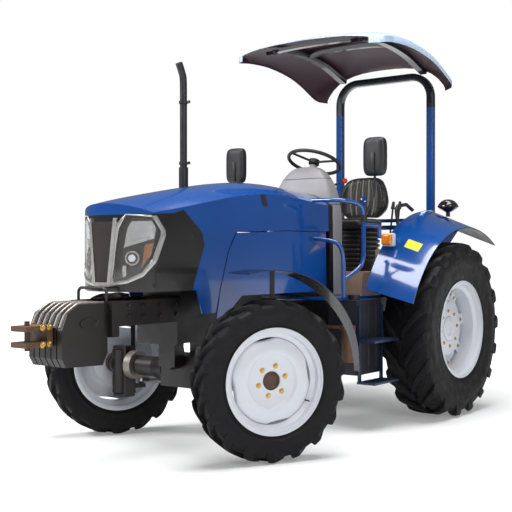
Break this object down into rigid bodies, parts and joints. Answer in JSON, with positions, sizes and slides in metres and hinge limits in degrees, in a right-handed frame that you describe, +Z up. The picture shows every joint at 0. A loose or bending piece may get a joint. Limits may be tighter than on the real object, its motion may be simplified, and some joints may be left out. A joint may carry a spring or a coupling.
{
  "type": "farm tractor",
  "caption": "Four-wheel-drive utility farm tractor with roll-over frame, sun canopy, front weights and rear three-point linkage.",
  "frame": {"origin": "on the ground below the middle of the overall length and width", "axes": "+Z up, the tractor faces -Y, +X is its left side"},
  "size_m": [2.0378, 4.4549, 3.0506],
  "materials": {
    "blue_paint": "gloss",
    "black_paint": "satin",
    "white_paint": "gloss",
    "cast_dark": "matte",
    "tyre": "matte",
    "black_plastic": "matte",
    "grey_plastic": "matte",
    "seat_cover": "satin",
    "steel": "satin",
    "lamp_glass": "clear",
    "beige_paint": "satin",
    "canopy_plastic": "gloss"
  },
  "bodies": {
    "chassis": {"front_axle": "cast_dark", "front_support": "cast_dark", "front_weights": "cast_dark", "tow_hitch": "cast_dark", "grille_guard": "black_paint", "engine_block": "cast_dark", "gearbox_and_rear_axle": "cast_dark", "front_drive_shaft": "black_paint", "side_panels": "blue_paint", "hood_rear_frame": "black_plastic", "platform": "blue_paint", "seat_platform": "beige_paint", "seat_suspension": "black_paint", "seat_cushion": "seat_cover", "seat_back": "seat_cover", "console": "grey_plastic", "rear_fender_left": "blue_paint", "rear_fender_right": "blue_paint", "rops_posts": "blue_paint", "canopy": "canopy_plastic", "canopy_frame": "black_paint", "handrails": "blue_paint", "side_tanks": "black_plastic", "steps": "black_paint", "mirrors": "black_plastic", "lamps": "lamp_glass", "grab_handles": "black_plastic", "exhaust_stack": "black_paint", "control_levers": "black_plastic", "linkage_housing": "cast_dark", "drawbar": "cast_dark"},
    "knuckle_left": {"knuckle_left": "cast_dark", "front_fender_left": "black_plastic"},
    "knuckle_right": {"knuckle_right": "cast_dark", "front_fender_right": "black_plastic"},
    "front_wheel_left": {"front_tyre_left": "tyre", "front_rim_left": "white_paint"},
    "front_wheel_right": {"front_tyre_right": "tyre", "front_rim_right": "white_paint"},
    "rear_wheel_left": {"rear_tyre_left": "tyre", "rear_rim_left": "white_paint"},
    "rear_wheel_right": {"rear_tyre_right": "tyre", "rear_rim_right": "white_paint"},
    "tie_rod": {"tie_rod": "steel"},
    "steering_wheel": {"steering_wheel": "black_plastic"},
    "hood": {"hood_shell": "blue_paint", "hood_nose": "black_paint", "grille": "black_plastic", "headlamps": "lamp_glass"},
    "lower_links": {"lower_links": "black_paint"},
    "lift_arms": {"lift_arms": "black_paint"},
    "lift_rods": {"lift_rods": "black_paint"},
    "top_link": {"top_link": "black_paint"},
    "pto_shaft": {"pto_shaft": "steel"}
  },
  "joints": [
    {"name": "steer_left", "type": "hinge", "parent": "chassis", "child": "knuckle_left", "pos_m": [0.615, -0.8275, 0.45], "axis": [0, 0, 1], "range_deg": [-7.4, 62.6]},
    {"name": "steer_right", "type": "hinge", "parent": "chassis", "child": "knuckle_right", "pos_m": [-0.615, -0.8275, 0.45], "axis": [0, 0, 1], "range_deg": [-7.4, 62.6]},
    {"name": "tie_rod_pin", "type": "hinge", "parent": "knuckle_left", "child": "tie_rod", "pos_m": [0.68449, -0.69457, 0.388], "axis": [0, 0, 1], "range_deg": [-62.6, 7.4]},
    {"name": "steering_wheel_turn", "type": "hinge", "parent": "chassis", "child": "steering_wheel", "pos_m": [0, 0.6941, 1.996], "axis": [0, 0.38, 0.925], "range_deg": [-88.8, 751.2]},
    {"name": "front_left_spin", "type": "hinge", "parent": "knuckle_left", "child": "front_wheel_left", "pos_m": [0.71824, -0.88147, 0.5], "axis": [0.8862, -0.4633, 0], "continuous": true},
    {"name": "front_right_spin", "type": "hinge", "parent": "knuckle_right", "child": "front_wheel_right", "pos_m": [-0.71824, -0.77353, 0.5], "axis": [0.8862, -0.4633, 0], "continuous": true},
    {"name": "rear_left_spin", "type": "hinge", "parent": "chassis", "child": "rear_wheel_left", "pos_m": [0.787, 1.3475, 0.682], "axis": [1, 0, 0], "continuous": true},
    {"name": "rear_right_spin", "type": "hinge", "parent": "chassis", "child": "rear_wheel_right", "pos_m": [-0.787, 1.3475, 0.682], "axis": [1, 0, 0], "continuous": true},
    {"name": "hood_hinge", "type": "hinge", "parent": "chassis", "child": "hood", "pos_m": [0, 0.4025, 1.762], "axis": [-1, 0, 0], "range_deg": [0, 45]},
    {"name": "lower_link_lift", "type": "hinge", "parent": "chassis", "child": "lower_links", "pos_m": [0, 1.5475, 0.48], "axis": [1, 0, 0], "range_deg": [-15, 28]},
    {"name": "lift_arm_turn", "type": "hinge", "parent": "chassis", "child": "lift_arms", "pos_m": [0, 1.5475, 0.96], "axis": [1, 0, 0], "range_deg": [-15, 28]},
    {"name": "lift_rod_pin", "type": "hinge", "parent": "lift_arms", "child": "lift_rods", "pos_m": [0, 1.9475, 0.98], "axis": [1, 0, 0], "range_deg": [-28, 15]},
    {"name": "top_link_pin", "type": "hinge", "parent": "chassis", "child": "top_link", "pos_m": [0, 1.5775, 0.8], "axis": [1, 0, 0], "range_deg": [-15, 30]},
    {"name": "pto_spin", "type": "hinge", "parent": "chassis", "child": "pto_shaft", "pos_m": [0, 1.5475, 0.64], "axis": [0, 1, 0], "continuous": true}
  ],
  "couplings": [
    {"joint": "steer_right", "follows": "steer_left", "ratio": 1},
    {"joint": "tie_rod_pin", "follows": "steer_left", "ratio": -1},
    {"joint": "steering_wheel_turn", "follows": "steer_left", "ratio": 12},
    {"joint": "lift_arm_turn", "follows": "lower_link_lift", "ratio": 1},
    {"joint": "lift_rod_pin", "follows": "lower_link_lift", "ratio": -1}
  ]
}
